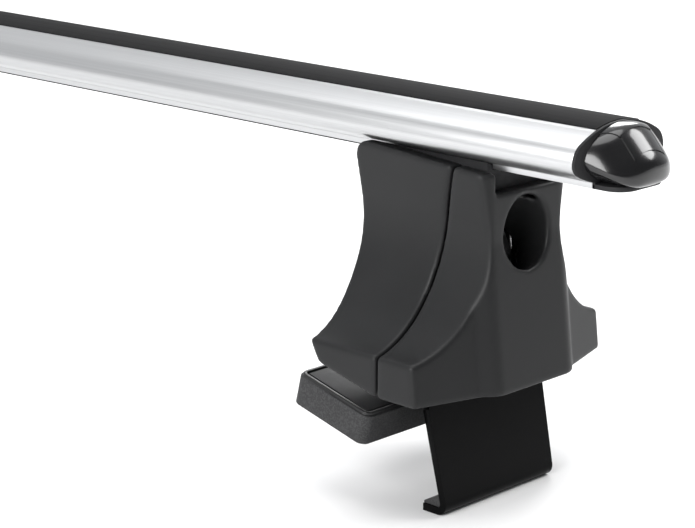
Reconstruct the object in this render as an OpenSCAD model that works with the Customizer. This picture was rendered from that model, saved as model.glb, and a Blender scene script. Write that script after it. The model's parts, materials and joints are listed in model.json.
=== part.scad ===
// Roof rack crossbar: an oval aluminium bar on two clamp feet.
// +X runs along the bar, +Y across it, +Z up. The origin lies under the middle of the bar, on the
// plane of the hook lips' undersides, which the rack stands on when it is off the car.
// Everything on a foot is drawn in the foot's own frame: x points to the near end of the bar, and
// z is counted down from the line through the noses of the bar.

/* [Bar] */
// Length of the aluminium profile
bar_len = 1260; // [900:10:1500]
// Width of the profile, nose to nose
bar_chord = 53; // [52:0.5:58]
// Height of the crown above the nose line
crown_h = 12.9; // [12.5:0.1:14]
// Depth of the curved underside below the nose line
keel_h = 10.2; // [9.8:0.1:10.4]
// Radius of the noses above the nose line
nose_up_r = 8; // [7:0.1:9]
// Radius of the noses below the nose line
nose_low_r = 5; // [4.5:0.1:6]
// Thickness of the outer wall
bar_wall = 2.0; // [1.6:0.1:2.4]
// Thickness of the inner webs and slot floors
web_t = 1.6; // [1.2:0.1:1.8]

/* [Slots] */
// Width of the pair of lips that frame the lower slot
ridge_w = 28.6; // [27:0.2:30]
// Depth of these lips below the nose line
ridge_z = 10.5; // [10.4:0.1:11.2]
// Width of the mouth of both slots
slot_mouth = 10; // [9:0.5:11]
// Width inside both slots
slot_w = 17; // [16.5:0.5:18]
// Depth inside the lower slot
low_slot_d = 5.0; // [4.8:0.1:5.4]
// Depth inside the upper slot
top_slot_d = 4.2; // [3.6:0.1:4.6]
// Thickness of the lips that close the slots
slot_lip = 2.0; // [1.6:0.1:2.2]
// Width of the rubber strip on the crown
strip_w = 25.4; // [23:0.2:27]
// Thickness of this strip
strip_t = 1.8; // [1.4:0.1:2.2]
// Height by which it stands proud of the aluminium
strip_proud = 0.4; // [0.2:0.1:0.8]
// Thickness of the cover strip under the lower slot
cover_t = 0.8; // [0.6:0.1:1.2]
// Play of the rubber strips in their seats
strip_play = 0.1; // [0.05:0.05:0.2]

/* [End caps] */
// Length of the dome beyond the end of the profile
cap_len = 18.5; // [17:0.5:20]
// Thickness of the cap's collar
collar_t = 1.2; // [1:0.1:1.6]
// Width of the matte ledge left around the dome at the noses
ledge_w = 4.3; // [3.5:0.1:5]
// Distance from the end of the profile to the brow of the slanted face
brow_l = 7.2; // [6.4:0.2:8]
// Slope of this face
brow_a = 49; // [46:0.5:52]
// Radius of this face across the cap
brow_r = 26; // [25:0.5:28]
// Radius of the belly across the cap
belly_r = 25.5; // [25:0.5:27]
// Radius of the dome's chin
chin_r = 7; // [6:0.5:8]
// Half width of the panel on the slanted face
badge_w = 9; // [7:0.5:10]
// Length of this panel, in plan
badge_l = 7.3; // [6:0.1:7.5]
// Length of the plate under the chin
plate_l = 13; // [10:0.5:14]
// Depth of the panel lines on the dome
line_d = 0.6; // [0.4:0.1:0.8]
// Length of the cap's plug inside the profile
plug_len = 20; // [12:1:30]
// Play of the plug in the profile
plug_play = 0.25; // [0.15:0.05:0.4]

/* [Housing] */
// Distance from the end of the profile to the middle of the foot
foot_inset = 75; // [70:1:200]
// Half width of the housing at its waist
waist_w = 20.9; // [20.9:0.1:22]
// Depth of the waist
waist_z = 37; // [36:0.5:38]
// Radius of the flare below the waist
flare_r = 43.8; // [42:0.2:45]
// Outward slope of the walls above the waist
shoulder_a = 11.2; // [10:0.2:13]
// Half width of the base
base_w = 55.7; // [54:0.2:58]
// Depth of the front's lower edge
base_z = 96.4; // [95:0.2:98]
// Slope of the underside, the pad and the roof below it
base_a = 14; // [12:0.5:15]
// Distance from the foot's middle to its inboard face
back_x = 34; // [34:0.5:37]
// Radius that draws the foot of the inboard face in
back_r = 60; // [56:1:80]
// Distance from the foot's middle to its front face
front_x = 33.3; // [33:0.1:35]
// Lean of the lower front
front_a = 6.6; // [5:0.2:8]
// Half width of the flat panel on the front
panel_w = 19; // [17:0.5:20]
// Thickness of the shells
wall = 2.8; // [2.2:0.1:2.8]
// Gap at the seam between the shells
seam_gap = 0.5; // [0.3:0.1:0.8]
// Depth of the floor of the channel that the bar lies in
channel_z = 19; // [18:0.2:20]
// Half width of this channel
channel_w = 18; // [17:0.1:18.2]
// Thickness of the stiffening ribs
rib_t = 2; // [1.5:0.1:2.5]

/* [Saddle and T-bolt] */
// Inboard end of the saddle, from the foot's middle
saddle_back = 20; // [18:0.5:22]
// Outboard end of the saddle
saddle_front = 28; // [20:0.5:30]
// Gap between the saddle and the bar
saddle_gap = 0.3; // [0.2:0.05:0.4]
// Distance of the T-bolt inboard of the foot's middle
tbolt_x = 15.4; // [15.2:0.1:16]
// Radius of both bolts
bolt_r = 4; // [4:0.1:4.2]
// Radial play of the bolts in plain holes
bolt_play = 0.25; // [0.2:0.05:0.4]
// Thickness of the washers
washer_t = 1.6; // [1.2:0.1:1.8]
// Radius of the washers
washer_r = 8; // [7.5:0.1:8.5]
// Width of the nut across its flats
nut_af = 13; // [12:0.5:13]
// Height of the nut
nut_h = 6.5; // [5:0.5:7]

/* [Clamp] */
// Radius of the access hole in the front
access_r = 13; // [12:0.1:13.2]
// Depth of the middle of this hole
access_z = 36.1; // [36:0.1:37]
// Slope of the clamp screw
screw_a = 30; // [28:0.5:31]
// Distance along the screw from the front face to the frame
seat_s = 26; // [25:0.5:27]
// Distance along the screw from the front face to the barrel nut
barrel_s = 53; // [52:0.5:54]
// Length of the screw below its head
screw_len = 41; // [38:1:42]
// Radius of the barrel nut
barrel_r = 6; // [6:0.1:6.5]
// Radial running play of the barrel nut and of the thread
running_play = 0.05; // [0.03:0.01:0.09]
// Thickness of the frame's sheet
frame_t = 3; // [2.5:0.1:3]
// Half width of the frame over its cheeks
frame_w = 17.4; // [17:0.1:17.6]
// Radius of the fulcrum pin
fulcrum_r = 3; // [2.5:0.1:3.5]

/* [Hook] */
// Thickness of the hook's sheet
hook_t = 3; // [2.5:0.1:3.2]
// Lean of the blade
hook_a = 12.3; // [11:0.2:13]
// Outer face of the blade where it leaves the housing, from the foot's middle
hook_x = 14.85; // [14:0.1:16]
// Depth of the lip's underside
hook_z = 146.5; // [135:0.5:160]
// Half width of the blade at its shoulders
blade_top_w = 34; // [31:0.5:36]
// Half width of the blade at the lip
blade_low_w = 32.6; // [29:0.5:34]
// Half width of the neck between the frame's cheeks
neck_w = 13.2; // [12:0.2:13.4]
// Depth of the shoulders
shoulder_z = 101.5; // [101:0.5:103]
// Length of the lip, over the blade
lip_len = 12.6; // [11:0.2:15]
// Height of the rubber liner against the blade
liner_h = 4.6; // [3:0.1:6]

/* [Pad] */
// Length of the pad along the slope
pad_len = 39.6; // [38:0.2:42]
// Width of the pad across the car
pad_w = 106; // [100:1:108]
// Thickness of the pad
pad_t = 13.6; // [11:0.2:16]
// Outboard top edge of the pad, from the foot's middle
pad_x = 0.2; // [0:0.2:1]
// Depth of this edge
pad_z = 105.3; // [105:0.1:107]
// Depth of the tray in the pad's top
tray_d = 3.2; // [3:0.1:4]
// Width of the ledge around the tray
ledge_t = 2.4; // [2:0.1:3]

/* [Hidden] */
$fn = 72;
eps = 0.01;
hair = 0.02;
far = 200;
depth = 10;
half_chord = bar_chord / 2;
foot_x = bar_len / 2 - foot_inset;
recess_d = strip_t - strip_proud;
low_roof_z = slot_lip + low_slot_d - ridge_z;
top_mouth_z = crown_h - recess_d;
top_floor_z = top_mouth_z - slot_lip - top_slot_d;
web_w = slot_w / 2 + web_t;
seat_low_z = crown_h - bar_wall - recess_d - 2.5;

ledge_step = 0.5;
plate_r = 20;
fin_y = 3;
line_w = 0.5;
lid_w = 13;
chin_c = [cap_len + 0.3 - chin_r, chin_r - ridge_z];
belly_z = ridge_z - 0.2;

slide_in = 10;
strip_end = saddle_back + slide_in + 1;

bend_z = 38;
seam_x = 6.4;
seam_r = 182;
seam_z = 70;
tongue_t = 1.6;
tongue_l = 6;
lap_gap = 0.15;
lap_root = 3;
top_z = 8.2;
top_a = 4.3;
top_corner_r = 6.5;
back_bend_z = 56;
plan_r = 8;
plan_step_a = 38;
plan_step_w = 28;
plan_slant_a = 16.6;
floor_z = channel_z + wall;
rib_y = [24, 36, 47];

dir_screw = [cos(screw_a), 0, sin(screw_a)];
access_c = [front_x, 0, -access_z];
seat_c = access_c - seat_s * dir_screw;
barrel_c = access_c - barrel_s * dir_screw;
head_h = 8;
head_r = 6.5;
socket_af = 6;
tube_t = 2.2;
curl_r = barrel_r + running_play;
front_plate_l = 12;
frame_step = 0.4;

dir_neck = [sin(screw_a), -cos(screw_a)];
dir_blade = [sin(hook_a), -cos(hook_a)];
out_blade = [cos(hook_a), sin(hook_a)];
blade_ref_z = 106.8;
blade_p = [hook_x, -blade_ref_z] - hook_t / 2 * out_blade;
neck_p = [barrel_c[0], barrel_c[2]] + (curl_r + hook_t / 2) * [dir_screw[0], dir_screw[2]];
knee = crossing(neck_p, dir_neck, blade_p, dir_blade);
heel_z = hook_t / 2 - hook_z;
heel = [blade_p[0] + (blade_p[1] - heel_z) * tan(hook_a), heel_z];
fulcrum_z = 89.4;
fulcrum_gap = 0.16;
fulcrum_c = [blade_p[0] + (blade_p[1] + fulcrum_z) * tan(hook_a)
             + (hook_t / 2 + fulcrum_r + fulcrum_gap) / cos(hook_a), 0, -fulcrum_z];
cheek_low_z = 93;
cheek_foot_z = 101.8;
cheek_back_z = 88;
cheek_bend_z = 56;
frame_back = 28;
cheek_front_x = 18.6;

// Where the line through p along u meets the line through q along v
function crossing(p, u, q, v) =
    let (t = ((q[0] - p[0]) * v[1] - (q[1] - p[1]) * v[0]) / (u[0] * v[1] - u[1] * v[0])) p + t * u;

// Points on an arc about c, from angle a to angle b
function arc_points(c, r, a, b, n) = [for (i = [0 : n]) c + r * [cos(a + (b - a) * i / n),
                                                                sin(a + (b - a) * i / n)]];

// Extrusion along the bar of an outline drawn in Y and Z
module along_x(from, to) {
    translate([from, 0, 0]) rotate([90, 0, 90]) linear_extrude(to - from) children();
}

// Extrusion across the bar of an outline drawn in X and Z, centred on the XZ plane
module along_y(width) {
    rotate([90, 0, 0]) linear_extrude(width, center = true) children();
}

// Cylinder between two points
module rod(p, q, r) {
    d = q - p;
    translate(p) rotate([0, acos(d[2] / norm(d)), atan2(d[1], d[0])]) cylinder(h = norm(d), r = r);
}

// A foot's piece at the right end of the bar, or mirrored at the left end
module at_foot(side) {
    mirror([side < 0 ? 1 : 0, 0, 0]) translate([foot_x, 0, hook_z]) children();
}

// Upper half of an oval: a crown arc that runs into two nose arcs, all drawn in by inset. The nose
// arcs stand out by a hair, so that they cross the crown arc cleanly.
module half_oval(h, nose_r, inset) {
    nose_y = half_chord - nose_r;
    crown_r = (nose_y * nose_y + h * h - nose_r * nose_r) / (2 * (h - nose_r));
    ray = 2 * nose_r / (crown_r - nose_r) * [nose_y, crown_r - h];
    intersection() {
        translate([0, h - crown_r]) circle(crown_r - inset, $fn = 360);
        polygon([[-nose_y, 0], [nose_y, 0], [nose_y + ray[0], ray[1]], [-nose_y - ray[0], ray[1]]]);
    }
    for (s = [-1, 1]) intersection() {
        translate([s * nose_y, 0]) circle(nose_r - inset + hair);
        translate([-far / 2, 0]) square([far, far / 2]);
    }
}

// Outline of the bar without its slots, drawn in by inset
module oval(inset) {
    half_oval(crown_h, nose_up_r, inset);
    mirror([0, 1]) half_oval(keel_h, nose_low_r, inset);
}

module ridge_2d(grow) {
    translate([-ridge_w / 2 - grow, -ridge_z - grow]) square([ridge_w + 2 * grow, ridge_z]);
}

module band_2d(width, low, high) {
    translate([-width / 2, low]) square([width, high - low]);
}

module crossbar_2d() {
    difference() {
        union() {
            oval(0);
            ridge_2d(0);
        }
        // Side chambers
        difference() {
            oval(bar_wall);
            band_2d(2 * web_w, -far / 2, far / 2);
            intersection() {
                band_2d(strip_w + 2 * web_t, 0, far / 2);
                difference() {
                    oval(0);
                    oval(bar_wall + recess_d);
                }
            }
        }
        // Middle chamber
        band_2d(slot_w, low_roof_z + web_t, top_floor_z - web_t);
        // Lower slot
        band_2d(slot_w, slot_lip - ridge_z, low_roof_z);
        band_2d(slot_mouth, -far / 2, slot_lip - ridge_z + eps);
        // Upper slot and the seat of the rubber strip
        band_2d(slot_w, top_floor_z, top_floor_z + top_slot_d);
        band_2d(slot_mouth, top_floor_z + top_slot_d - eps, far / 2);
        difference() {
            band_2d(strip_w, 0, far / 2);
            oval(recess_d);
        }
    }
}

module crossbar_profile() {
    color("lightgray") translate([0, 0, hook_z]) along_x(-bar_len / 2, bar_len / 2) crossbar_2d();
}

module top_slot_strip() {
    mouth = slot_mouth - 2 * strip_play;
    color([0.16, 0.16, 0.16]) translate([0, 0, hook_z]) along_x(-bar_len / 2, bar_len / 2) {
        difference() {
            intersection() {
                band_2d(strip_w - 2 * strip_play, 0, far / 2);
                oval(-strip_proud);
            }
            oval(recess_d);
        }
        // Stem and the bead that snaps in behind the lips
        band_2d(mouth, top_mouth_z - slot_lip - strip_play - eps, top_mouth_z + eps);
        translate([0, top_mouth_z - slot_lip - strip_play]) polygon([[-mouth / 2 - 1.2, 0],
            [-mouth / 2, -2.4], [mouth / 2, -2.4], [mouth / 2 + 1.2, 0]]);
    }
}

module lower_slot_strip() {
    mouth = slot_mouth - 2 * strip_play;
    reach = foot_x - strip_end;
    color([0.12, 0.12, 0.12]) translate([0, 0, hook_z]) along_x(-reach, reach) {
        band_2d(ridge_w - 2, -ridge_z - cover_t, -ridge_z);
        band_2d(mouth, -ridge_z - eps, slot_lip - ridge_z + strip_play + eps);
        translate([0, slot_lip - ridge_z + strip_play]) polygon([[-mouth / 2 - 1.2, 0],
            [mouth / 2 + 1.2, 0], [mouth / 2, 2.4], [-mouth / 2, 2.4]]);
    }
}

// Outline of the bar as points, drawn in by inset, for the cap's double curved dome
function half_points(h, nose_r, inset, n) =
    let (nose_y = half_chord - nose_r,
         crown_r = (nose_y * nose_y + h * h - nose_r * nose_r) / (2 * (h - nose_r)),
         t = atan2(crown_r - h, nose_y))
    concat(arc_points([nose_y, 0], nose_r - inset, 0, t, n),
           arc_points([0, h - crown_r], crown_r - inset, t, 180 - t, 2 * n),
           arc_points([-nose_y, 0], nose_r - inset, 180 - t, 180, n));

module dome_outline(inset) {
    upper = half_points(crown_h, nose_up_r, inset, 9);
    lower = half_points(keel_h, nose_low_r, inset, 9);
    polygon(concat(upper, [for (i = [len(lower) - 1 : -1 : 0]) [lower[i][0], -lower[i][1]]]));
}

// Round bar under the slanted face; its top line is the middle of that face
module brow_rod(inset) {
    face = [sin(brow_a), 0, cos(brow_a)];
    down = [cos(brow_a), 0, -sin(brow_a)];
    middle = [brow_l, 0, crown_h - ledge_step] - brow_r * face;
    rod(middle - far / 2 * down, middle + far / 2 * down, brow_r - inset);
}

// Dome of the cap: the bar's outline, bounded by an arc in plan, the slanted face, a belly and a chin
module cap_dome() {
    dome_y = half_chord - ledge_w;
    dome_r = (dome_y * dome_y + cap_len * cap_len) / (2 * cap_len);
    difference() {
        intersection() {
            along_x(0, cap_len + 1) dome_outline(ledge_step);
            translate([cap_len - dome_r, 0, -far / 2]) cylinder(h = far, r = dome_r, $fn = 180);
            brow_rod(0);
            rod([-1, 0, belly_r - belly_z], [far, 0, belly_r - belly_z], belly_r);
            along_y(far) {
                translate([0, -far / 2]) square([chin_c[0], far]);
                translate([0, chin_c[1]]) square([far, far]);
                translate(chin_c) circle(chin_r + hair);
            }
        }
        // Lines around the lid on the crown and around the panel on the slanted face
        difference() {
            linear_extrude(far / 2) panel_lines_2d();
            intersection() {
                brow_rod(line_d);
                along_x(-1, cap_len) dome_outline(ledge_step + line_d);
            }
        }
    }
}

module panel_lines_2d() {
    seam = brow_l + line_w;
    difference() {
        translate([seam, -badge_w]) square([badge_l, 2 * badge_w]);
        translate([seam + line_w, -badge_w + line_w]) square([badge_l - 2 * line_w, 2 * (badge_w - line_w)]);
    }
    for (s = [0, 1]) mirror([0, s])
        polygon([[-1, lid_w], [-1, lid_w - line_w], [seam + eps, badge_w - line_w], [seam + eps, badge_w]]);
}

// Cap in its own frame: x = 0 at the end of the profile, z = 0 on the nose line
module cap_shape() {
    cap_dome();
    // Collar
    along_x(0, collar_t) {
        oval(0);
        ridge_2d(0);
    }
    // Plate that continues the lips of the lower slot
    intersection() {
        along_x(0, plate_l + 1) ridge_2d(0);
        translate([plate_l - plate_r, 0, -far / 2]) cylinder(h = far / 2, r = plate_r, $fn = 180);
    }
    // Plug: fins that grip the two side chambers
    for (s = [0, 1]) mirror([0, s, 0]) intersection() {
        along_x(-plug_len, 1) oval(bar_wall + plug_play);
        union() {
            translate([-plug_len, web_w + fin_y, -far / 2]) cube([plug_len + 1, web_t, far]);
            translate([-plug_len, web_w + plug_play, -web_t / 2]) cube([plug_len + 1, far, web_t]);
        }
        translate([-plug_len, 0, -far / 2]) cube([far, far, far / 2 + seat_low_z - plug_play]);
    }
}

module end_cap(side) {
    color([0.05, 0.05, 0.05]) mirror([side < 0 ? 1 : 0, 0, 0]) translate([bar_len / 2, 0, hook_z])
        cap_shape();
}

// Front view of the housing, drawn in by inset
module flare_2d(inset) {
    centre = [waist_w + flare_r, -waist_z];
    turn = centre + (flare_r + inset) * [-cos(shoulder_a), sin(shoulder_a)];
    rise = [sin(shoulder_a), cos(shoulder_a)];
    difference() {
        band_2d(2 * (base_w - inset), -base_z - depth, 0);
        for (s = [0, 1]) mirror([s, 0]) {
            translate(centre) circle(flare_r + inset, $fn = 180);
            polygon([turn, turn + far / 2 * rise, [far, far / 2], [far, turn[1]]]);
        }
    }
}

// Plan of the housing's front: a flat panel, a rounded step and two slanted cheeks
module plan_2d(inset) {
    turn = arc_points([front_x - plan_r, panel_w], plan_r, 0, plan_step_a, 6);
    last = turn[6];
    step = [last[0] - (plan_step_w - last[1]) * tan(plan_step_a), plan_step_w];
    edge = [step[0] - (far / 2 - plan_step_w) * tan(plan_slant_a), far / 2];
    side = concat(turn, [step, edge]);
    translate([-inset, 0]) polygon(concat([[-far, far / 2], [-far, -far / 2]],
        [for (i = [8 : -1 : 0]) [side[i][0], -side[i][1]]], [for (i = [0 : 8]) side[i]]));
}

// Side view of the housing, drawn in by inset at its inboard face
module side_2d(inset) {
    back = inset - back_x;
    top_back = [back, -top_z + back_x * tan(top_a) - inset];
    corner = [back + top_corner_r, top_back[1] - top_corner_r - top_corner_r * tan(top_a)];
    slope = tan(base_a);
    difference() {
        intersection() {
            polygon([[back, -far], [far, -far], [far, -top_z - far * tan(top_a) - inset], top_back]);
            union() {
                translate([back, -back_bend_z]) square([far, far]);
                intersection() {
                    translate([back_r - back_x, -back_bend_z]) circle(back_r - inset, $fn = 180);
                    translate([-far, -far - back_bend_z + eps]) square([2 * far, far]);
                }
            }
        }
        difference() {
            translate([back - 1, corner[1]]) square([top_corner_r + 1, far]);
            translate(corner) circle(top_corner_r);
        }
        // Underside: level below the front, rising towards the roof's middle behind the seam
        translate([-far, -base_z - far]) square([2 * far, far]);
        polygon([[seam_x, -base_z], [seam_x - far, -base_z + far * slope], [seam_x - far, -far],
                 [seam_x, -far]]);
    }
}

// Space inside the housing's outer skin, drawn in by inset
module housing(inset) {
    intersection() {
        along_x(-far / 2, far / 2) flare_2d(inset);
        union() {
            translate([0, 0, -bend_z]) linear_extrude(bend_z) plan_2d(inset);
            translate([front_x, 0, -bend_z]) rotate([0, -front_a, 0])
                translate([-front_x, 0, -far / 2]) linear_extrude(far / 2 + 12) plan_2d(inset);
        }
        children();
    }
}

// Room inside the shells, open at the bottom and closed by the channel's floor
module cavity(inset) {
    housing(inset) intersection() {
        along_y(far) union() {
            side_2d(inset);
            translate([-back_x + depth, -base_z - depth]) square([far, 2 * depth]);
            polygon([[seam_x + 1, -base_z], [seam_x - back_x, -base_z + back_x * tan(base_a) + 4],
                     [seam_x - back_x, -base_z - depth], [seam_x + 1, -base_z - depth]]);
        }
        translate([-far / 2, -far / 2, -far]) cube([far, far, far - floor_z]);
        along_y(far) translate([-back_x + inset, -far]) square([far, far]);
    }
}

// Everything outboard of the seam, which curves forward towards the top
module outboard(gap) {
    along_y(far) {
        translate([seam_x + seam_r, -seam_z]) circle(seam_r - gap, $fn = 360);
        translate([seam_x + gap, -seam_z - far]) square([far, far]);
    }
}

// Room that the shells leave for the saddle and the bar
module channel() {
    translate([-far / 2, -channel_w, -channel_z]) cube([far, 2 * channel_w, far]);
    along_x(-far / 2, far / 2) oval(-saddle_gap);
}

module t_bolt_hole(r) {
    translate([-tbolt_x, 0, -far / 2]) cylinder(h = far, r = r);
}

module foot_body() {
    color([0.2, 0.2, 0.2]) {
        difference() {
            housing(0) along_y(far) side_2d(0);
            outboard(0);
            channel();
            cavity(wall);
            t_bolt_hole(bolt_r + bolt_play);
        }
        // Ribs that stiffen the flares
        for (y = rib_y) for (s = [-1, 1]) intersection() {
            cavity(wall - 0.2);
            translate([-far / 2, s * y - rib_t / 2, -base_z]) cube([far / 2 - 6, rib_t, far]);
            along_y(far) side_2d(0);
        }
    }
}

module front_cover() {
    color([0.2, 0.2, 0.2]) {
        difference() {
            intersection() {
                union() {
                    difference() {
                        housing(0) along_y(far) side_2d(0);
                        cavity(wall);
                    }
                    rod(access_c + 2 * dir_screw, access_c - (seat_s - 5) * dir_screw, access_r + tube_t);
                }
                housing(0) along_y(far) side_2d(0);
                outboard(seam_gap);
            }
            channel();
            rod(access_c + 30 * dir_screw, access_c - far * dir_screw, access_r);
        }
        // Tongues in the flares that lap behind the edge of the foot body
        difference() {
            union() {
                difference() {
                    cavity(wall + lap_gap);
                    outboard(1);
                }
                intersection() {
                    cavity(wall - lap_gap);
                    outboard(seam_gap);
                }
            }
            cavity(wall + tongue_t);
            outboard(lap_root);
            difference() {
                translate([-far, -far / 2, -far]) cube([2 * far, far, 2 * far]);
                outboard(-tongue_l);
            }
            translate([-far / 2, -far / 2, -far]) cube([far, far, far - base_z + 2]);
            translate([-far / 2, -frame_w - 3, -far]) cube([far, 2 * frame_w + 6, 2 * far]);
        }
    }
}

module bar_saddle() {
    color([0.06, 0.06, 0.06]) difference() {
        translate([-saddle_back, -channel_w + 0.2, -channel_z])
            cube([saddle_back + saddle_front, 2 * channel_w - 0.4, channel_z]);
        along_x(-far / 2, far / 2) {
            oval(-saddle_gap);
            ridge_2d(saddle_gap);
        }
        t_bolt_hole(bolt_r + bolt_play);
    }
}

module t_bolt() {
    head_low = slot_lip - ridge_z + 0.1;
    tip_z = floor_z + frame_t + washer_t + nut_h + 3;
    color([0.55, 0.55, 0.57]) {
        translate([-tbolt_x - 5, -slot_w / 2 + 0.5, head_low]) cube([10, slot_w - 1, 3.6]);
        translate([-tbolt_x, 0, -tip_z]) cylinder(h = tip_z + head_low + eps, r = bolt_r);
    }
}

module ring(r_out, r_in, h) {
    difference() {
        cylinder(h = h, r = r_out);
        translate([0, 0, -1]) cylinder(h = h + 2, r = r_in);
    }
}

module t_bolt_washer() {
    color([0.6, 0.6, 0.62]) translate([-tbolt_x, 0, -floor_z - frame_t - washer_t])
        ring(washer_r, bolt_r + bolt_play, washer_t);
}

module t_bolt_nut() {
    color([0.6, 0.6, 0.62]) translate([-tbolt_x, 0, -floor_z - frame_t - washer_t - nut_h])
        difference() {
            cylinder(h = nut_h, r = nut_af / 2 / cos(30), $fn = 6);
            translate([0, 0, -1]) cylinder(h = nut_h + 2, r = bolt_r + running_play);
        }
}

// Puts its children on the pad's top plane: x down the slope from the outboard edge, z upright
module on_pad() {
    translate([pad_x, 0, -pad_z]) rotate([0, base_a, 0]) children();
}

module inner_frame() {
    seat = [seat_c[0], seat_c[2]];
    top_edge = crossing(seat, dir_neck, [0, -floor_z], [1, 0]);
    low_edge = seat + front_plate_l * dir_neck;
    step = frame_step * [dir_screw[0], dir_screw[2]];
    plate_w = frame_w - frame_step;
    color([0.25, 0.25, 0.26]) difference() {
        union() {
            // Cheeks, which end a little behind the faces of the plates that they join
            for (s = [-1, 1]) translate([0, s * (frame_w - frame_t / 2), 0]) along_y(frame_t)
                polygon([[-frame_back, -floor_z - frame_step], top_edge - 2 * step,
                         low_edge - step - 2 * frame_step * dir_neck,
                         [cheek_front_x, low_edge[1] - 6], [cheek_front_x, -cheek_low_z],
                         [2, -cheek_low_z], [-5, -cheek_foot_z - 15 * tan(base_a)],
                         [-20, -cheek_foot_z], [-20, -cheek_back_z], [-frame_back, -cheek_bend_z]]);
            // Top plate under the channel
            translate([-frame_back, -plate_w, -floor_z - frame_t])
                cube([frame_back - 1 + top_edge[0], 2 * plate_w, frame_t]);
            // Front plate, square to the screw
            translate(seat_c) rotate([0, -screw_a, 0]) translate([-frame_t, -plate_w, -front_plate_l])
                cube([frame_t, 2 * plate_w, front_plate_l + norm(top_edge - seat) - frame_step]);
            // Foot plate in the pad's tray
            on_pad() translate([-pad_len + ledge_t + 1, -pad_w / 2 + ledge_t + 1, -tray_d])
                cube([pad_len - 2 * ledge_t - 2, pad_w - 2 * ledge_t - 2, frame_t]);
        }
        rod(seat_c + dir_screw, seat_c - (frame_t + 1) * dir_screw, bolt_r + bolt_play);
        t_bolt_hole(bolt_r + bolt_play);
        rod(fulcrum_c - [0, far, 0], fulcrum_c + [0, far, 0], fulcrum_r + running_play);
    }
}

module fulcrum_pin() {
    color([0.5, 0.5, 0.52])
        rod(fulcrum_c - [0, frame_w, 0], fulcrum_c + [0, frame_w, 0], fulcrum_r);
}

module clamp_screw() {
    head = seat_c + (washer_t + 0.05) * dir_screw;
    color([0.3, 0.3, 0.31]) difference() {
        union() {
            rod(head, head + head_h * dir_screw, head_r);
            rod(seat_c - (screw_len - washer_t) * dir_screw, head + eps * dir_screw, bolt_r);
        }
        translate(head + (head_h - 4) * dir_screw) rotate([0, 90 - screw_a, 0])
            cylinder(h = 5, r = socket_af / 2 / cos(30), $fn = 6);
    }
}

module screw_washer() {
    color([0.6, 0.6, 0.62]) translate(seat_c) rotate([0, 90 - screw_a, 0])
        ring(washer_r, bolt_r + bolt_play, washer_t);
}

module barrel_nut() {
    color([0.55, 0.55, 0.57]) difference() {
        rod(barrel_c - [0, neck_w, 0], barrel_c + [0, neck_w, 0], barrel_r);
        rod(barrel_c - far * dir_screw, barrel_c + far * dir_screw, bolt_r + running_play);
    }
}

// Straight run of sheet from p to q, drawn in side view
module run_2d(p, q) {
    d = q - p;
    translate(p) rotate(atan2(d[1], d[0])) translate([0, -hook_t / 2]) square([norm(d), hook_t]);
}

module hook_2d() {
    barrel = [barrel_c[0], barrel_c[2]];
    run_2d(neck_p, knee);
    run_2d(knee, heel);
    run_2d(heel, [heel[0] + hook_t / 2 - lip_len, heel[1]]);
    for (p = [knee, heel]) translate(p) circle(hook_t / 2);
    // Curl over the barrel nut
    difference() {
        translate(barrel) circle(curl_r + hook_t);
        translate(barrel) circle(curl_r);
        translate(barrel) rotate(screw_a) translate([-far / 2, -far]) square([far, far]);
        translate(barrel) rotate(screw_a + 130) translate([-far / 2, 0]) square([far, far]);
    }
}

module clamp_hook() {
    slot_c = neck_p;
    color([0.04, 0.04, 0.04]) difference() {
        intersection() {
            along_y(2 * blade_top_w) hook_2d();
            along_x(-far / 2, far / 2) {
                polygon([[-blade_low_w, -hook_z - 1], [blade_low_w, -hook_z - 1],
                         [blade_top_w, -shoulder_z - 3], [blade_top_w - 3, -shoulder_z],
                         [3 - blade_top_w, -shoulder_z], [-blade_top_w, -shoulder_z - 3]]);
                band_2d(2 * neck_w, -shoulder_z - 1, 0);
            }
        }
        // Slot for the screw, long enough for the hook to swing
        for (k = [-3, 3]) rod(barrel_c + [k * dir_neck[0], 0, k * dir_neck[1]],
            barrel_c + [k * dir_neck[0], 0, k * dir_neck[1]] + 20 * dir_screw, bolt_r + 0.5);
        translate(barrel_c) rotate([0, -screw_a, 0]) translate([0, -bolt_r - 0.5, -3])
            cube([20, 2 * bolt_r + 1, 6]);
    }
}

module hook_liner() {
    tip = [heel[0] + hook_t / 2 - lip_len, heel[1] + hook_t / 2];
    root = crossing(tip, [1, 0], blade_p - hook_t / 2 * out_blade, dir_blade);
    color([0.1, 0.1, 0.1]) along_y(2 * blade_low_w - 1)
        polygon([tip, root, root - liner_h * dir_blade, root - liner_h * dir_blade - [1, 0],
                 tip + [0, 1]]);
}

module foot_pad() {
    color([0.14, 0.14, 0.14]) on_pad() difference() {
        translate([-pad_len, -pad_w / 2, -pad_t]) cube([pad_len, pad_w, pad_t]);
        translate([ledge_t - pad_len, ledge_t - pad_w / 2, -tray_d])
            cube([pad_len - 2 * ledge_t, pad_w - 2 * ledge_t, far]);
    }
}

crossbar_profile();
top_slot_strip();
lower_slot_strip();
end_cap(1);  // end_cap_right
end_cap(-1);  // end_cap_left
at_foot(1) foot_body();  // foot_body_right
at_foot(1) front_cover();  // front_cover_right
at_foot(1) bar_saddle();  // bar_saddle_right
at_foot(1) t_bolt();  // t_bolt_right
at_foot(1) t_bolt_washer();  // t_bolt_washer_right
at_foot(1) t_bolt_nut();  // t_bolt_nut_right
at_foot(1) inner_frame();  // inner_frame_right
at_foot(1) fulcrum_pin();  // fulcrum_pin_right
at_foot(1) clamp_screw();  // clamp_screw_right
at_foot(1) screw_washer();  // screw_washer_right
at_foot(1) barrel_nut();  // barrel_nut_right
at_foot(1) clamp_hook();  // clamp_hook_right
at_foot(1) hook_liner();  // hook_liner_right
at_foot(1) foot_pad();  // foot_pad_right
at_foot(-1) foot_body();  // foot_body_left
at_foot(-1) front_cover();  // front_cover_left
at_foot(-1) bar_saddle();  // bar_saddle_left
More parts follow.
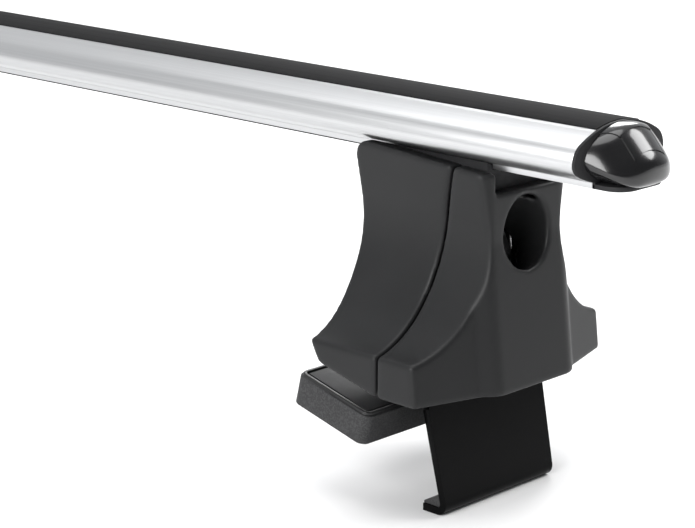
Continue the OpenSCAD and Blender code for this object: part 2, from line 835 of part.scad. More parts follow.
at_foot(-1) t_bolt();  // t_bolt_left
at_foot(-1) t_bolt_washer();  // t_bolt_washer_left
at_foot(-1) t_bolt_nut();  // t_bolt_nut_left
at_foot(-1) inner_frame();  // inner_frame_left
at_foot(-1) fulcrum_pin();  // fulcrum_pin_left
at_foot(-1) clamp_screw();  // clamp_screw_left
at_foot(-1) screw_washer();  // screw_washer_left
at_foot(-1) barrel_nut();  // barrel_nut_left
at_foot(-1) clamp_hook();  // clamp_hook_left
at_foot(-1) hook_liner();  // hook_liner_left
at_foot(-1) foot_pad();  // foot_pad_left
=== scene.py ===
import json
import math

import bmesh
import bpy
from mathutils import Matrix, Vector


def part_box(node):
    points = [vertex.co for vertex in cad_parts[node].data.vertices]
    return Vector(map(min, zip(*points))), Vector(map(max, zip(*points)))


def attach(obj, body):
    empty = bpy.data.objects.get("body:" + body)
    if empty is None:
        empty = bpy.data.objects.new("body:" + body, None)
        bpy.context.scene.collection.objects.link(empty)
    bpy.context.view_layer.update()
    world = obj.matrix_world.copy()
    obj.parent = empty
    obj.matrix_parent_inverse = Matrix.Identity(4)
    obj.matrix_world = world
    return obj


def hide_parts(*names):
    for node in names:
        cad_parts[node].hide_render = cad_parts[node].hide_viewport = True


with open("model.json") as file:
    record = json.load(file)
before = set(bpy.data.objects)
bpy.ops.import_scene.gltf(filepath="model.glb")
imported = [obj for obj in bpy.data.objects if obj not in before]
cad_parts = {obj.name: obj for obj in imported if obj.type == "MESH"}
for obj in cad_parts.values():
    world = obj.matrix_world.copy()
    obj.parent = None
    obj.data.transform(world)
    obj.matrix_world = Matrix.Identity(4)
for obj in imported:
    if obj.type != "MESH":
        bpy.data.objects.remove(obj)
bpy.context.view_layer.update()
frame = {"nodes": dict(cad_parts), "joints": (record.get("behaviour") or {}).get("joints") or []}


# Crossbar: an extruded aluminium profile, hollow, clear anodised over the marks of its brushing.
# It is sawn square at both ends, where the caps plug it, so only its long edges are eased.
class Shade:
    """A socket of a material's node tree. Sums on it add Math nodes."""

    def __init__(self, tree, socket):
        self.tree, self.socket = tree, socket

    def node(self, kind, settings=None, inputs=None, out=0):
        made = self.tree.nodes.new(kind)
        for key, value in (settings or {}).items():
            setattr(made, key, value)
        for key, value in (inputs or {}).items():
            if isinstance(value, Shade):
                self.tree.links.new(value.socket, made.inputs[key])
            else:
                made.inputs[key].default_value = value
        return Shade(self.tree, made.outputs[out])

    def maths(self, operation, first, second=0.0):
        return self.node("ShaderNodeMath", {"operation": operation}, {0: first, 1: second})

    def __add__(self, other):
        return self.maths("ADD", self, other)

    def __sub__(self, other):
        return self.maths("SUBTRACT", self, other)

    def __mul__(self, other):
        return self.maths("MULTIPLY", self, other)

    def __abs__(self):
        return self.maths("ABSOLUTE", self)

    def __pow__(self, other):
        return self.maths("POWER", self, other)

    def __radd__(self, other):
        return self.maths("ADD", other, self)

    def __rsub__(self, other):
        return self.maths("SUBTRACT", other, self)

    def __rmul__(self, other):
        return self.maths("MULTIPLY", other, self)

    def over(self, edge, soft):
        """0 below edge and 1 above it, with a ramp soft wide."""
        return self.node("ShaderNodeMapRange", {"clamp": True},
                         {"Value": self, "From Min": edge - soft / 2, "From Max": edge + soft / 2})


class Finish:
    """A new Principled material, with the place on the piece as its starting point."""

    def __init__(self, name, colour, roughness, metallic=0.0, **constants):
        self.material = bpy.data.materials.new(name)
        self.material.use_nodes = True
        self.tree = self.material.node_tree
        self.shader = self.tree.nodes["Principled BSDF"]
        for key, value in {"Base Color": (*colour, 1), "Roughness": roughness,
                           "Metallic": metallic, **constants}.items():
            self.shader.inputs[key.replace("_", " ")].default_value = value
        self.place = Shade(self.tree, self.tree.nodes.new("ShaderNodeTexCoord").outputs["Object"])

    def along(self, axis):
        """The place on the piece along X, Y or Z, in metres."""
        return self.place.node("ShaderNodeSeparateXYZ", {}, {"Vector": self.place}, "XYZ".index(axis))

    def noise(self, scale, detail=3.0, stretch=(1, 1, 1)):
        there = self.place.node("ShaderNodeMapping", {}, {"Vector": self.place, "Scale": stretch})
        return there.node("ShaderNodeTexNoise", {}, {"Vector": there, "Scale": scale, "Detail": detail})

    def blend(self, mask, one, two):
        return mask.node("ShaderNodeMix", {"data_type": "RGBA"},
                         {"Factor": mask, 6: one if isinstance(one, Shade) else (*one, 1),
                          7: two if isinstance(two, Shade) else (*two, 1)}, out=2)

    def feed(self, socket, value):
        self.tree.links.new(value.socket, self.shader.inputs[socket])

    def bump(self, height, distance, strength=1.0):
        self.feed("Normal", height.node("ShaderNodeBump", {}, {"Height": height, "Distance": distance,
                                                               "Strength": strength}))


def finish_mesh(work, mesh, angle=28):
    """Writes the bmesh to the mesh, smooth but for its sharp edges."""
    for face in work.faces:
        face.smooth = True
    for edge in work.edges:
        edge.smooth = len(edge.link_faces) == 2 and edge.calc_face_angle(0) < math.radians(angle)
    work.to_mesh(mesh)
    work.free()


def new_piece(name, work, angle=28):
    """Makes an object of the bmesh, at the origin."""
    mesh = bpy.data.meshes.new(name)
    finish_mesh(work, mesh, angle)
    piece = bpy.data.objects.new(name, mesh)
    bpy.context.scene.collection.objects.link(piece)
    return piece


def ease_edges(work, width, steps=2, angle=28):
    """Rounds off every edge sharper than the angle."""
    sharp = [e for e in work.edges if len(e.link_faces) == 2
             and e.calc_face_angle(0) > math.radians(angle)]
    bmesh.ops.bevel(work, geom=sharp, offset=width, segments=steps, profile=0.5, affect="EDGES",
                    clamp_overlap=True, material=-1)


def solid_of(node):
    """A bmesh of the node's solid, with its loose triangles merged into whole faces."""
    work = bmesh.new()
    work.from_mesh(frame["nodes"][node].data)
    bmesh.ops.remove_doubles(work, verts=work.verts, dist=2e-6)
    bmesh.ops.dissolve_limit(work, angle_limit=math.radians(0.6), verts=work.verts, edges=work.edges)
    return work


def copy_of(node, name, soften=0.0, steps=2):
    """Makes an object of the node's solid, with its edges eased if soften gives a width."""
    work = solid_of(node)
    if soften:
        ease_edges(work, soften, steps)
    return new_piece(name, work)


def fit_out(piece, body, slot, finishes, *replaced):
    """Gives the piece its finish or finishes, hangs it on the empty of the body that it rides on, and hides
    the CAD parts that it stands for.
    """
    piece.data.materials.clear()
    for finish in finishes if isinstance(finishes, tuple) else (finishes,):
        piece.data.materials.append(finish.material)
    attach(piece, body)
    if replaced:
        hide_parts(*replaced)


SIDES = (("right", 1), ("left", -1))
mm = 0.001

edge_break = 0.25 * mm
aluminium = Finish("brushed_aluminium", (0.54, 0.545, 0.55), 0.3, 1.0)
grain = aluminium.noise(1.0, 4.0, (6, 2600, 2600))
cloud = aluminium.noise(1.0, 2.0, (3, 40, 40))
aluminium.feed("Roughness", 0.26 + 0.12 * grain + 0.06 * cloud)
aluminium.feed("Base Color", aluminium.blend(grain, (0.47, 0.475, 0.48), (0.60, 0.605, 0.61)))
aluminium.bump(grain, 0.02 * mm, 0.5)
fit_out(copy_of("crossbar_profile", "profile", edge_break), "bar", "aluminium", aluminium,
        "crossbar_profile")

# Rubber strips: one fills the seat on the crown, the other covers the slot underneath. They are
# extruded too, dull, with faint lines of the die along them, and snap into the slots.
strip_rubber = Finish("strip_rubber", (0.012, 0.012, 0.013), 0.6, Specular_IOR_Level=0.08)
die_lines = strip_rubber.noise(1.0, 2.0, (1.5, 1400, 1400))
mottle = strip_rubber.noise(90, 3.0)
strip_rubber.feed("Roughness", 0.56 + 0.24 * die_lines + 0.08 * mottle)
strip_rubber.feed("Base Color", strip_rubber.blend(mottle, (0.009, 0.009, 0.0095),
                                                   (0.016, 0.016, 0.0165)))
strip_rubber.bump(die_lines, 0.04 * mm, 0.6)
for strip in ("top_slot_strip", "lower_slot_strip"):
    fit_out(copy_of(strip, strip.replace("slot_strip", "strip"), 0.3 * mm), "bar", "strip_rubber",
            strip_rubber, strip)

# End caps: mouldings in black. A satin collar with a finned plug sits square on the sawn end, and a
# glossy dome with a slanted face stands on it. A raised lid leads up to the rubber strip, a fine
# line frames the panel below the lid, and a thin plate shows under the chin.
bar_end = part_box("crossbar_profile")[1][0]
nose_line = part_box("crossbar_profile")[0][2] + 10.5 * mm
dome_len, dome_half, collar = 18.5 * mm, 24.5 * mm, 1.2 * mm
crown_top, crown_r, belly_depth, belly_r = 12.3 * mm, 31 * mm, 10.4 * mm, 29 * mm
brow_x, brow_r, brow_slope = 7.2 * mm, 24 * mm, math.radians(49)
chin_r, chin_x, chin_z = 7 * mm, 11.8 * mm, -3.5 * mm
plan_r = (dome_half ** 2 + dome_len ** 2) / (2 * dome_len)
crease = 0.9 * mm
lid_seam, lid_half, lid_rise, lid_floor = 7.7 * mm, 13 * mm, 0.35 * mm, 5 * mm
panel_len, panel_half, panel_floor = 7.3 * mm, 9 * mm, -4 * mm
line, line_depth = 0.5 * mm, 0.4 * mm
plate_size, plate_z, plate_corner = Vector((13.5 * mm, 28.6 * mm, 1.9 * mm)), -9.55 * mm, 8 * mm


def outside_dome(x, y, z):
    """How far a point lies outside the dome, whose faces meet in soft creases."""
    face = (x - brow_x) * math.sin(brow_slope) + (z - crown_top) * math.cos(brow_slope)
    over = (math.hypot(y, z - crown_top + crown_r) - crown_r,
            math.hypot(y, face + brow_r) - brow_r,
            math.hypot(y, z + belly_depth - belly_r) - belly_r,
            math.hypot(x - dome_len + plan_r, y) - plan_r,
            math.hypot(max(x - chin_x, 0), max(chin_z - z, 0)) - chin_r)
    return crease * math.log(sum(math.exp(max(o, -0.02) / crease) for o in over))


def dome_shell():
    """The dome's skin: a ball whose points are moved out from its heart until they meet the faces."""
    heart = Vector((4 * mm, 0, 1 * mm))
    work = bmesh.new()
    bmesh.ops.create_uvsphere(work, u_segments=144, v_segments=88, radius=1)
    for vert in work.verts:
        ray, near, far = vert.co.normalized(), 0.0, 45 * mm
        for step in range(26):
            middle = (near + far) / 2
            if outside_dome(*(heart + middle * ray)) < 0:
                near = middle
            else:
                far = middle
        vert.co = heart + near * ray
    work.normal_update()
    cuts = [((place, 0, 0), (1, 0, 0)) for place in
            (lid_seam, lid_seam + panel_len - line, lid_seam + panel_len)]
    cuts += [((0, place, 0), (0, 1, 0)) for place in
             (panel_half, panel_half - line, line - panel_half, -panel_half)]
    cuts += [((lid_seam, side * panel_half, 0), (lid_half - panel_half, side * lid_seam, 0))
             for side in (1, -1)]
    for place, normal in cuts:
        bmesh.ops.bisect_plane(work, geom=work.verts[:] + work.edges[:] + work.faces[:], dist=1e-6,
                               plane_co=place, plane_no=normal)
    cut = bmesh.ops.bisect_plane(work, geom=work.verts[:] + work.edges[:] + work.faces[:], dist=1e-6,
                                 plane_co=(collar / 2, 0, 0), plane_no=(1, 0, 0), clear_inner=True)
    bmesh.ops.edgeloop_fill(work, edges=[e for e in cut["geom_cut"] if isinstance(e, bmesh.types.BMEdge)])
    work.normal_update()
    return work


def on_lid(x, y):
    """Whether a place in plan is on the lid, which widens towards the bar."""
    return x < lid_seam and abs(y) < panel_half + (lid_half - panel_half) * (lid_seam - x) / lid_seam


def in_line(x, y):
    """Whether a place in plan is on the sunk line that frames the panel on three sides."""
    return (lid_seam < x < lid_seam + panel_len and abs(y) < panel_half
            and not (x < lid_seam + panel_len - line and abs(y) < panel_half - line))


def raise_faces(work, chosen, height):
    """Lifts the chosen faces off the shell, or sinks them into it."""
    grown = bmesh.ops.extrude_face_region(work, geom=chosen)["geom"]
    tops = [g for g in grown if isinstance(g, bmesh.types.BMVert)]
    bmesh.ops.delete(work, geom=[f for f in chosen if f.is_valid], context="FACES")
    work.normal_update()
    for vert, normal in [(v, v.normal.copy()) for v in tops]:
        vert.co += height * normal
    work.normal_update()


cap_gloss = Finish("cap_gloss", (0.006, 0.006, 0.0065), 0.16, Coat_Weight=0.3, Coat_Roughness=0.05)
cap_gloss.feed("Roughness", 0.13 + 0.12 * cap_gloss.noise(60, 3.0))
cap_gloss.bump(cap_gloss.noise(500, 2.0), 0.01 * mm, 0.3)
cap_satin = Finish("cap_satin", (0.012, 0.012, 0.013), 0.6, Specular_IOR_Level=0.3)
cap_satin.feed("Roughness", 0.5 + 0.25 * cap_satin.noise(900, 3.0))
cap_satin.bump(cap_satin.noise(2400, 2.0), 0.05 * mm, 0.5)
# The crown between the lid and the brow is satin; the slanted face, from the brow on, is glossy
shoulder = Finish("cap_shoulder", (0.010, 0.010, 0.011), 0.5, Specular_IOR_Level=0.4)
height_over = (shoulder.along("Z") - (nose_line + crown_top)) * math.cos(brow_slope)
reach_out = (abs(shoulder.along("X")) - (bar_end + brow_x)) * math.sin(brow_slope)
off_axis = reach_out + height_over + brow_r
glossy = ((off_axis * off_axis + shoulder.along("Y") * shoulder.along("Y")) ** 0.5).over(
    brow_r - 0.65 * mm, 0.1 * mm)
shoulder.feed("Roughness", 0.6 - 0.45 * glossy + 0.1 * shoulder.noise(900, 3.0))
shoulder.feed("Base Color", shoulder.blend(glossy, (0.014, 0.014, 0.015), (0.006, 0.006, 0.0065)))
for side, sign in SIDES:
    shell = dome_shell()
    raise_faces(shell, [f for f in shell.faces if on_lid(*f.calc_center_median().xy)
                        and f.calc_center_median().z > lid_floor], lid_rise)
    raise_faces(shell, [f for f in shell.faces if in_line(*f.calc_center_median().xy)
                        and f.calc_center_median().z > panel_floor and f.normal.z > 0.15], -line_depth)
    for face in shell.faces:
        spot = face.calc_center_median()
        on_crown = spot.x < lid_seam + 1 * mm and spot.z > 1 * mm
        face.material_index = 1 if on_crown and not on_lid(*spot.xy) else 0
    bmesh.ops.transform(shell, verts=shell.verts, matrix=Matrix.Scale(sign, 4, (1, 0, 0))
                        @ Matrix.Translation((bar_end, 0, nose_line)))
    bmesh.ops.recalc_face_normals(shell, faces=shell.faces)
    fit_out(new_piece(f"cap_dome_{side}", shell, 40), "bar", "cap_plastic", (cap_gloss, shoulder))

    base = solid_of(f"end_cap_{side}")
    cut = bmesh.ops.bisect_plane(base, geom=base.verts[:] + base.edges[:] + base.faces[:], dist=1e-6,
                                 plane_co=(sign * (bar_end + collar), 0, 0), plane_no=(sign, 0, 0),
                                 clear_outer=True)
    bmesh.ops.holes_fill(base, edges=[e for e in base.edges if e.is_boundary])
    bmesh.ops.recalc_face_normals(base, faces=base.faces)
    ease_edges(base, 0.25 * mm)
    fit_out(new_piece(f"cap_base_{side}", base), "bar", "cap_plastic", cap_satin, f"end_cap_{side}")

    plate = bmesh.new()
    bmesh.ops.create_cube(plate, size=1)
    bmesh.ops.scale(plate, vec=plate_size, verts=plate.verts)
    bmesh.ops.translate(plate, vec=(plate_size.x / 2, 0, plate_z), verts=plate.verts)
    front = [e for e in plate.edges if all(v.co.x > 10 * mm for v in e.verts)
             and abs(e.verts[0].co.z - e.verts[1].co.z) > mm]
    bmesh.ops.bevel(plate, geom=front, offset=plate_corner, segments=12, profile=0.5, affect="EDGES",
                    material=-1)
    ease_edges(plate, 0.3 * mm)
    bmesh.ops.transform(plate, verts=plate.verts, matrix=Matrix.Scale(sign, 4, (1, 0, 0))
                        @ Matrix.Translation((bar_end, 0, nose_line)))
    bmesh.ops.recalc_face_normals(plate, faces=plate.faces)
    fit_out(new_piece(f"cap_plate_{side}", plate), "bar", "cap_plastic", cap_satin)


# Foot housings: an inboard and an outboard shell of grained black plastic, clipped together at the
# seam. Both are moulded with generously rounded edges, which catch a soft line of light.
mould_radius, mould_grid, mould_passes = 1.0 * mm, 0.72 * mm, 14


def moulded(node, name):
    """A copy of the solid, rounded off, cast on a fine grid and smoothed like a moulding."""
    piece = copy_of(node, name)
    round_off = piece.modifiers.new("Round", "BEVEL")
    round_off.width, round_off.segments, round_off.use_clamp_overlap = mould_radius, 2, False
    round_off.limit_method, round_off.angle_limit = "ANGLE", math.radians(30)
    grid = piece.modifiers.new("Remesh", "REMESH")
    grid.mode, grid.voxel_size, grid.use_smooth_shade = "VOXEL", mould_grid, True
    ease = piece.modifiers.new("Smooth", "SMOOTH")
    ease.factor, ease.iterations = 0.5, mould_passes
    return piece


housing_plastic = Finish("housing_plastic", (0.010, 0.010, 0.0105), 0.4, Specular_IOR_Level=0.24)
leather = housing_plastic.noise(2600, 2.0)
wear = housing_plastic.noise(35, 4.0)
housing_plastic.feed("Roughness", 0.35 + 0.1 * leather + 0.1 * wear)
housing_plastic.feed("Base Color", housing_plastic.blend(wear, (0.008, 0.0082, 0.0086),
                                                         (0.013, 0.0132, 0.0138)))
housing_plastic.bump(leather, 0.05 * mm, 0.6)
for side, sign in SIDES:
    for shell in ("foot_body", "front_cover"):
        fit_out(moulded(f"{shell}_{side}", f"{shell}_skin_{side}"), f"foot_{side}",
                "housing_plastic", housing_plastic, f"{shell}_{side}")

# Saddle: a black rubber trough between the housing and the bar, held by the T-bolt that runs through.
saddle_rubber = Finish("saddle_rubber", (0.012, 0.012, 0.013), 0.7, Specular_IOR_Level=0.25)
saddle_rubber.feed("Roughness", 0.6 + 0.25 * saddle_rubber.noise(300, 3.0))
saddle_rubber.bump(saddle_rubber.noise(1500, 2.0), 0.05 * mm, 0.5)
for side, sign in SIDES:
    fit_out(copy_of(f"bar_saddle_{side}", f"saddle_{side}", 0.4 * mm), f"foot_{side}", "saddle_rubber",
            saddle_rubber, f"bar_saddle_{side}")

# Bolts, nuts, washers and the fulcrum pin: turned steel. The clamp screw is blackened, the rest is
# bright zinc. Threads are rolled with a 1.25 mm pitch.
pitch, thread_r, root_r = 1.25 * mm, 4 * mm, 3.3 * mm
turned_edge, head_edge, shank_overlap = 0.4 * mm, 0.35 * mm, 2 * mm


def threaded(start, end):
    """A threaded shank of ring grooves, turned about the line from start to end."""
    start, end = Vector(start), Vector(end)
    axis = (end - start).normalized()
    across = axis.orthogonal().normalized()
    turns = int((end - start).length / pitch)
    work = bmesh.new()
    outline = [(0, 0), (root_r, 0)]
    for turn in range(turns):
        outline += [(thread_r, (turn + 0.35) * pitch), (thread_r, (turn + 0.65) * pitch),
                    (root_r, (turn + 1) * pitch)]
    outline.append((0, turns * pitch))
    row = [work.verts.new(start + radius * across + along * axis) for radius, along in outline]
    rim = [work.edges.new(pair) for pair in zip(row, row[1:])]
    bmesh.ops.spin(work, geom=row + rim, cent=start, axis=axis, angle=math.tau, steps=28, use_merge=True)
    bmesh.ops.remove_doubles(work, verts=work.verts, dist=1e-6)
    bmesh.ops.recalc_face_normals(work, faces=work.faces)
    return work


zinc = Finish("zinc_steel", (0.55, 0.56, 0.57), 0.3, 1.0)
zinc_cloud = zinc.noise(400, 3.0)
zinc.feed("Roughness", 0.22 + 0.25 * zinc_cloud)
zinc.feed("Base Color", zinc.blend(zinc_cloud, (0.50, 0.51, 0.52), (0.62, 0.62, 0.60)))
black_steel = Finish("black_steel", (0.03, 0.03, 0.031), 0.35, 0.4)
oil = black_steel.noise(300, 3.0)
black_steel.feed("Roughness", 0.25 + 0.3 * oil)
black_steel.feed("Base Color", black_steel.blend(oil, (0.022, 0.022, 0.023), (0.045, 0.045, 0.046)))
HARDWARE = (("t_bolt_washer", "foot"), ("t_bolt_nut", "foot"), ("fulcrum_pin", "foot"),
            ("screw_washer", "foot"), ("barrel_nut", "nut"))
for side, sign in SIDES:
    for node, body in HARDWARE:
        fit_out(copy_of(f"{node}_{side}", f"{node}_turned_{side}", turned_edge, 3), f"{body}_{side}",
                "zinc_steel", zinc, f"{node}_{side}")
    low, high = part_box(f"t_bolt_{side}")
    middle_x, neck_z = (low[0] + high[0]) / 2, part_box(f"t_bolt_washer_{side}")[0][2]
    head = solid_of(f"t_bolt_{side}")
    bmesh.ops.bisect_plane(head, geom=head.verts[:] + head.edges[:] + head.faces[:], dist=1e-6,
                           plane_co=(0, 0, neck_z), plane_no=(0, 0, 1), clear_inner=True)
    bmesh.ops.holes_fill(head, edges=[e for e in head.edges if e.is_boundary])
    ease_edges(head, turned_edge)
    fit_out(new_piece(f"t_bolt_head_{side}", head), f"foot_{side}", "zinc_steel", zinc, f"t_bolt_{side}")
    shank = threaded((middle_x, 0, low[2]), (middle_x, 0, neck_z + shank_overlap))
    fit_out(new_piece(f"t_bolt_thread_{side}", shank), f"foot_{side}", "zinc_steel", zinc)

    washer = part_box(f"screw_washer_{side}")
    seat = Vector([(a + b) / 2 for a, b in zip(*washer)])
    drive = Vector(next(j["axis"] for j in frame["joints"] if j["name"] == f"nut_travel_{side}"))
    screw = solid_of(f"clamp_screw_{side}")
    tip = seat + (min(v.co.dot(drive) for v in screw.verts) - seat.dot(drive)) * drive
    bmesh.ops.bisect_plane(screw, geom=screw.verts[:] + screw.edges[:] + screw.faces[:], dist=1e-6,
                           plane_co=seat, plane_no=drive, clear_inner=True)
    bmesh.ops.holes_fill(screw, edges=[e for e in screw.edges if e.is_boundary])
    ease_edges(screw, head_edge)
    fit_out(new_piece(f"clamp_screw_head_{side}", screw), f"screw_{side}", "black_steel", black_steel,
            f"clamp_screw_{side}")
    fit_out(new_piece(f"clamp_screw_thread_{side}", threaded(tip, seat)), f"screw_{side}",
            "black_steel", black_steel)

# Inner frame: three-millimetre steel, folded and welded, dipped black. It carries the screw's seat.
frame_paint = Finish("frame_paint", (0.02, 0.02, 0.021), 0.4)
frame_paint.feed("Roughness", 0.3 + 0.25 * frame_paint.noise(300, 3.0))
frame_paint.bump(frame_paint.noise(700, 2.0), 0.05 * mm, 0.4)
for side, sign in SIDES:
    fit_out(copy_of(f"inner_frame_{side}", f"frame_{side}", 0.4 * mm), f"foot_{side}", "coated_steel",
            frame_paint, f"inner_frame_{side}")

# Hook: three-millimetre sheet, blanked, curled over the barrel nut and bent at the lip, then dipped
# in thick glossy black. The bend is wider than the sheet, and its round back catches the light.
sheet_t, curl_mid, lip_bend, lip_reach = 3 * mm, 7.55 * mm, 3 * mm, 12.6 * mm
blade_lean, neck_lean, curl_turn = math.radians(12.3), math.radians(30), math.radians(130)
shoulder_cut, rim_r = 3 * mm, 0.7 * mm
neck_half, blade_half, lip_half, slot_half = 13.2 * mm, 34 * mm, 32.6 * mm, 4.6 * mm
shoulder_rise, slot_reach, slot_rows = 45 * mm, 7.5 * mm, range(8, 15)


def meet(p, u, q, v):
    """Where the line through p along u meets the line through q along v."""
    return p + u * ((q - p).cross(v) / u.cross(v))


def arc(centre, radius, start, end, steps):
    """Points in side view on an arc from the angle start to the angle end."""
    return [centre + radius * Vector((math.cos(a), math.sin(a))) for a in
            (start + (end - start) * k / steps for k in range(steps + 1))]


def hook_way(barrel, heel, lip_tip):
    """Points along the middle of the sheet, from the curl to the lip, each with its half width."""
    neck_way = Vector((math.sin(neck_lean), -math.cos(neck_lean)))
    blade_way = Vector((math.sin(blade_lean), -math.cos(blade_lean)))
    curl = arc(barrel, curl_mid, neck_lean + curl_turn, neck_lean, 14)
    knee = meet(curl[-1], neck_way, heel, blade_way)
    shoulder = knee + blade_way * ((knee.y - shoulder_rise) / math.cos(blade_lean))
    pull = lip_bend * math.tan((math.pi / 2 + blade_lean) / 2)
    bend = arc(heel + Vector((-pull, lip_bend)), lip_bend, blade_lean, -math.pi / 2, 14)
    way = [(p, neck_half) for p in curl + [curl[-1] + slot_reach * neck_way, knee]]
    way += [(shoulder - 0.2 * mm * blade_way, neck_half), (shoulder, blade_half - shoulder_cut),
            (shoulder + shoulder_cut * blade_way, blade_half)]
    return way + [(p, lip_half) for p in bend + [Vector((lip_tip, heel.y))]]


def hook_sheet(sign, way):
    """A grid of faces laid along the way, less the slot that the screw runs through."""
    work = bmesh.new()
    rows = len(way) - 1
    bmesh.ops.create_grid(work, x_segments=3, y_segments=rows, size=1)
    slot = []
    for face in work.faces:
        spot = face.calc_center_median()
        if abs(spot.x) < 0.1 and int((spot.y + 1) / 2 * rows) in slot_rows:
            slot.append(face)
    for vert in work.verts:
        point, half = way[round((vert.co.y + 1) / 2 * rows)]
        reach = half if abs(vert.co.x) > 0.9 else slot_half
        vert.co = (sign * point.x, math.copysign(reach, vert.co.x), point.y)
    bmesh.ops.delete(work, geom=slot, context="FACES_ONLY")
    bmesh.ops.recalc_face_normals(work, faces=work.faces)
    return work


hook_coating = Finish("hook_coating", (0.002, 0.002, 0.0022), 0.16, Specular_IOR_Level=0.05)
hook_coating.feed("Roughness", 0.13 + 0.14 * hook_coating.noise(45, 3.0))
hook_coating.bump(hook_coating.noise(420, 2.0), 0.05 * mm, 0.3)
for side, sign in SIDES:
    low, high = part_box(f"clamp_hook_{side}")
    pivot = sum(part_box(f"barrel_nut_{side}"), Vector()) / 2
    outboard = max(abs(low[0]), abs(high[0]))
    way = hook_way(Vector((abs(pivot.x), pivot.z)), Vector((outboard - sheet_t / 2, low[2] + sheet_t / 2)),
                   outboard - lip_reach)
    hook = new_piece(f"hook_{side}", hook_sheet(sign, way), 40)
    sheet = hook.modifiers.new("Thickness", "SOLIDIFY")
    sheet.thickness, sheet.offset, sheet.use_even_offset = sheet_t, 0, True
    rim = hook.modifiers.new("Rim", "BEVEL")
    rim.width, rim.segments, rim.limit_method, rim.angle_limit = rim_r, 3, "ANGLE", math.radians(40)
    fit_out(hook, f"hook_{side}", "hook_coating", hook_coating, f"clamp_hook_{side}")

# Feet: moulded rubber. The pad under the housing has rounded corners and a glossy bead round its top,
# with a channel behind it that the housing stands in. The liner keeps the hook off the door frame.
pad_len, pad_half, pad_t, pad_lean = 39.6 * mm, 53 * mm, 13.6 * mm, math.radians(14)
bead_rise, bead_w, bead_inset, channel_d = 1.2 * mm, 1.5 * mm, 0.9 * mm, 3.2 * mm
pad_corner, pad_edge, liner_edge = 4 * mm, 0.5 * mm, 0.3 * mm


def pad_block():
    """A block with its bead and channel, with the top's outboard edge at the origin."""
    work = bmesh.new()
    bmesh.ops.create_cube(work, size=1)
    bmesh.ops.scale(work, vec=(pad_len, 2 * pad_half, pad_t - bead_rise), verts=work.verts)
    bmesh.ops.translate(work, vec=(-pad_len / 2, 0, -(pad_t + bead_rise) / 2), verts=work.verts)
    upright = [e for e in work.edges if abs(e.verts[0].co.z - e.verts[1].co.z) > mm]
    bmesh.ops.bevel(work, geom=upright, offset=pad_corner, segments=8, profile=0.5, affect="EDGES",
                    material=-1)
    work.faces.ensure_lookup_table()
    top = max(work.faces, key=lambda f: f.calc_center_median().z)
    for inset, rise in ((bead_inset, bead_rise), (bead_w, -channel_d)):
        bmesh.ops.inset_region(work, faces=[top], thickness=inset, depth=0)
        grown = bmesh.ops.extrude_discrete_faces(work, faces=[top])["faces"]
        top = grown[0]
        bmesh.ops.translate(work, vec=(0, 0, rise), verts=top.verts)
    return work


pad_rubber = Finish("pad_rubber", (0.03, 0.03, 0.031), 0.5, Specular_IOR_Level=0.35)
speckle = pad_rubber.noise(1500, 3.0)
cloud = pad_rubber.noise(60, 3.0)
for side, sign in SIDES:
    pad = pad_block()
    ease_edges(pad, pad_edge, 3, 40)
    low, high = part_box(f"foot_pad_{side}")
    corner = Vector((max(abs(low[0]), abs(high[0])), 0, low[2] + pad_t * math.cos(pad_lean)))
    bmesh.ops.transform(pad, verts=pad.verts, matrix=Matrix.Scale(sign, 4, (1, 0, 0))
                        @ Matrix.Translation(corner) @ Matrix.Rotation(pad_lean, 4, "Y"))
    bmesh.ops.recalc_face_normals(pad, faces=pad.faces)
    fit_out(new_piece(f"pad_{side}", pad, 50), f"foot_{side}", "pad_rubber", pad_rubber, f"foot_pad_{side}")
    fit_out(copy_of(f"hook_liner_{side}", f"liner_{side}", liner_edge), f"hook_{side}", "pad_rubber",
            pad_rubber, f"hook_liner_{side}")
# The bead shines, and the block below it is dull and speckled; both lie square to the leaning roof
on_roof = abs(pad_rubber.along("X")) * math.sin(pad_lean) + pad_rubber.along("Z") * math.cos(pad_lean)
bead = on_roof.over(corner.x * math.sin(pad_lean) + corner.z * math.cos(pad_lean) - bead_rise, 0.3 * mm)
pad_rubber.feed("Roughness", 0.46 + 0.22 * speckle + 0.08 * cloud - 0.25 * bead)
pad_rubber.feed("Base Color", pad_rubber.blend(bead, pad_rubber.blend(
    speckle.over(0.52, 0.2), (0.016, 0.016, 0.017), (0.036, 0.036, 0.037)), (0.012, 0.012, 0.0125)))
pad_rubber.bump(speckle, 0.1 * mm, 0.5)

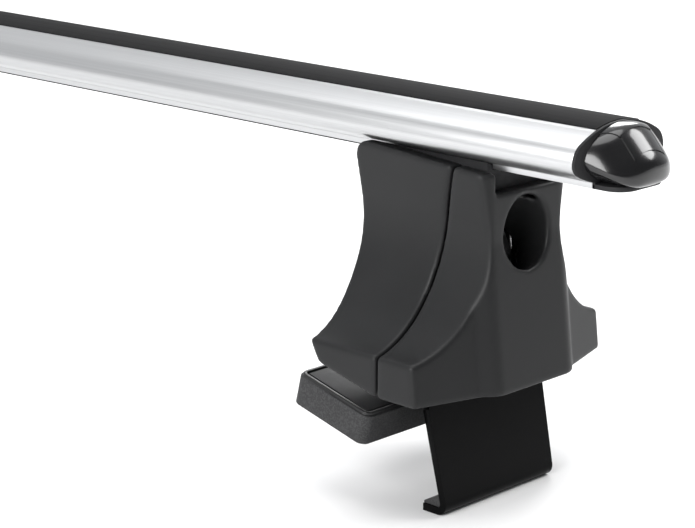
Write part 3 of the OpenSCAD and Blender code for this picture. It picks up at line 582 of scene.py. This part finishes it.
# Studio: a pale floor and a surround that is bright behind the part, a broad soft light at the front
# left, two smaller ones behind the bar and a wide sun for a ceiling. The camera stands where the
# photograph was taken from.
floor_work = bmesh.new()
bmesh.ops.create_grid(floor_work, x_segments=1, y_segments=1, size=20)
floor = new_piece("floor", floor_work)
floor_paint = Finish("floor_paint", (0.86, 0.86, 0.86), 0.7)
floor_paint.feed("Roughness", 0.65 + 0.1 * floor_paint.noise(3, 2.0))
floor.data.materials.append(floor_paint.material)


def soft_light(name, place, aim, size, power):
    """A rectangular lamp at place, turned towards aim."""
    lamp = bpy.data.lights.new(name, "AREA")
    lamp.shape, lamp.size, lamp.size_y, lamp.energy = "RECTANGLE", size[0], size[1], power
    holder = bpy.data.objects.new(name, lamp)
    bpy.context.scene.collection.objects.link(holder)
    holder.location = place
    holder.rotation_euler = (Vector(aim) - Vector(place)).to_track_quat("-Z", "Y").to_euler()


soft_light("left_box", (0.82, -1.45, 0.78), (0.6, 0, 0.1), (1.0, 0.9), 28)
soft_light("back_box", (1.27, 1.25, 1.29), (0.6, 0, 0.12), (0.7, 0.7), 14)
soft_light("rear_box", (-0.26, 1.3, 0.96), (0.6, 0, 0.12), (0.6, 0.5), 8)
sky = bpy.data.lights.new("ceiling", "SUN")
sky.energy, sky.angle = 1.7, math.radians(50)
bpy.context.scene.collection.objects.link(bpy.data.objects.new("ceiling", sky))
world = bpy.data.worlds.new("surround")
world.use_nodes = True
look = Shade(world.node_tree, world.node_tree.nodes.new("ShaderNodeTexCoord").outputs["Generated"])
light_side, dim, bright = (-0.92, 0.28, 0.28), 0.14, 0.66
lit = look.node("ShaderNodeVectorMath", {"operation": "DOT_PRODUCT"}, {0: look, 1: light_side}, 1)
brightness = dim + bright * lit.over(0.1, 0.8)
world.node_tree.links.new(brightness.socket, world.node_tree.nodes["Background"].inputs["Strength"])
world.node_tree.nodes["Background"].inputs["Color"].default_value = (0.97, 0.98, 1.0, 1)
bpy.context.scene.world = world
bpy.context.scene.view_settings.view_transform = "Standard"

lens = bpy.data.cameras.new("camera")
lens.lens, lens.sensor_width = 115.94, 36
camera = bpy.data.objects.new("camera", lens)
bpy.context.scene.collection.objects.link(camera)
camera.location = (1.1164, -0.6413, 0.3182)
camera.rotation_euler = (math.radians(75.07), 0, math.radians(44.20))
lens.clip_start, lens.clip_end = 0.02, 100
bpy.context.scene.camera = camera
